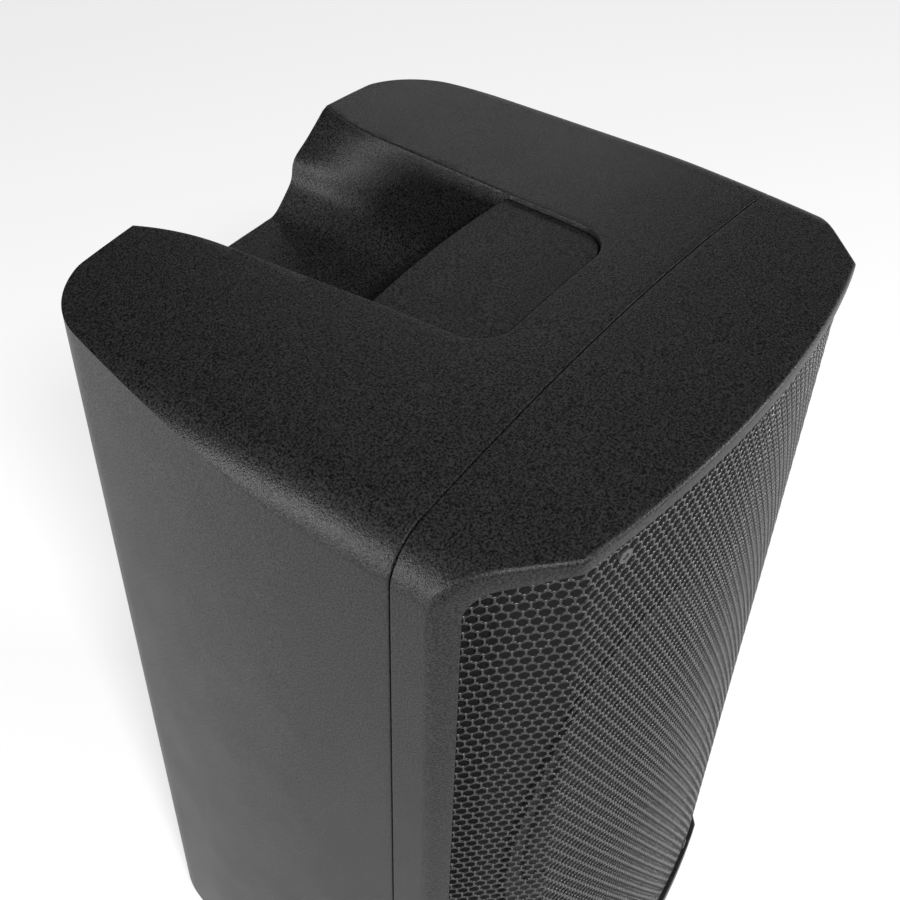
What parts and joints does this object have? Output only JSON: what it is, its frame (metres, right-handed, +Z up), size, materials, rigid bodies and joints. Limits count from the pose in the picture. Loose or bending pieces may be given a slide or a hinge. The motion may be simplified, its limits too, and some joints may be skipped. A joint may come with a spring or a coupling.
{
  "type": "line array speaker",
  "caption": "Portable column loudspeaker: bass cabinet with perforated front grille and top hand pocket, its slim driver column and spacer stowed in a rear bay.",
  "frame": {"origin": "on the floor, under the middle of the cabinet's bounding box", "axes": "+Z up, the grille faces -Y, the socket panels face +Y, +X is the cabinet's side that carries the control panel"},
  "size_m": [0.39, 0.3728, 0.6699],
  "materials": {
    "casing": "fine grained black moulding",
    "grip": "fine grained black moulding",
    "grille": "dark satin powder coat",
    "board": "matt black",
    "frame_steel": "black pressed steel",
    "magnet": "plain ferrite and steel",
    "cone": "black coated paper",
    "rubber": "matt",
    "copper": "bare metal",
    "panel": "black satin",
    "knob": "matt black",
    "glass": "dark gloss",
    "circuit": "green laminate",
    "alloy": "anodised"
  },
  "bodies": {
    "cabinet": {"rear_shell": "casing", "front_bezel": "casing", "handle_plate": "grip", "grille_panel": "grille", "baffle_board": "board", "port_tube_1": "board", "port_tube_2": "board", "socket_cup": "board", "woofer_frame": "frame_steel", "grille_screw_1": "frame_steel", "grille_screw_2": "frame_steel", "grille_screw_3": "frame_steel", "grille_screw_4": "frame_steel", "woofer_magnet": "magnet", "woofer_spider": "cone", "woofer_surround": "rubber", "stow_pad_1": "rubber", "stow_pad_2": "rubber", "foot_1": "rubber", "foot_2": "rubber", "foot_3": "rubber", "foot_4": "rubber", "socket_contacts": "copper", "control_panel": "panel", "power_panel": "panel", "combo_jack_1": "knob", "combo_jack_2": "knob", "line_jack_1": "knob", "line_jack_2": "knob", "mix_out": "knob", "mains_inlet": "knob", "display_window": "glass", "supply_board": "circuit", "amp_board": "circuit", "heat_sink": "alloy"},
    "cone_assembly": {"woofer_cone": "cone", "dust_cap": "cone", "voice_coil": "copper"},
    "column": {"array_shell": "casing", "array_grille": "grille", "array_cap": "casing", "array_foot": "casing", "array_driver_1": "cone", "array_driver_2": "cone", "array_driver_3": "cone", "array_driver_4": "cone", "array_driver_5": "cone", "array_driver_6": "cone"},
    "spacer": {"spacer_tube": "casing"},
    "select_knob": {"select_knob": "knob"},
    "mode_button": {"mode_button": "knob"},
    "mute_button": {"mute_button": "knob"},
    "power_rocker": {"power_rocker": "knob"},
    "gain_knob_1": {"gain_knob_1": "knob"},
    "gain_knob_2": {"gain_knob_2": "knob"},
    "gain_knob_3": {"gain_knob_3": "knob"},
    "gain_knob_4": {"gain_knob_4": "knob"}
  },
  "joints": [
    {"name": "cone_travel", "type": "slide", "parent": "cabinet", "child": "cone_assembly", "axis": [0, 1, 0], "range_m": [-0.006, 0.006], "stiffness_N_per_m": 1500},
    {"name": "column_out", "type": "slide", "parent": "cabinet", "child": "column", "axis": [0, 1, 0], "range_m": [0, 0.15]},
    {"name": "spacer_out", "type": "slide", "parent": "cabinet", "child": "spacer", "axis": [0, 1, 0], "range_m": [0, 0.15]},
    {"name": "select_turn", "type": "hinge", "parent": "cabinet", "child": "select_knob", "pos_m": [0.092, 0.174, 0.404], "axis": [0, 1, 0], "continuous": true},
    {"name": "mode_press", "type": "slide", "parent": "cabinet", "child": "mode_button", "axis": [0, -1, 0], "range_m": [0, 0.0015], "stiffness_N_per_m": 300},
    {"name": "mute_press", "type": "slide", "parent": "cabinet", "child": "mute_button", "axis": [0, -1, 0], "range_m": [0, 0.0015], "stiffness_N_per_m": 300},
    {"name": "power_tilt", "type": "hinge", "parent": "cabinet", "child": "power_rocker", "pos_m": [-0.092, 0.172, 0.257], "axis": [1, 0, 0], "range_deg": [0, 14]},
    {"name": "gain_turn_1", "type": "hinge", "parent": "cabinet", "child": "gain_knob_1", "pos_m": [0.08, 0.174, 0.338], "axis": [0, 1, 0], "range_deg": [-150, 150]},
    {"name": "gain_turn_2", "type": "hinge", "parent": "cabinet", "child": "gain_knob_2", "pos_m": [0.104, 0.174, 0.338], "axis": [0, 1, 0], "range_deg": [-150, 150]},
    {"name": "gain_turn_3", "type": "hinge", "parent": "cabinet", "child": "gain_knob_3", "pos_m": [0.08, 0.174, 0.306], "axis": [0, 1, 0], "range_deg": [-150, 150]},
    {"name": "gain_turn_4", "type": "hinge", "parent": "cabinet", "child": "gain_knob_4", "pos_m": [0.104, 0.174, 0.306], "axis": [0, 1, 0], "range_deg": [-150, 150]}
  ]
}
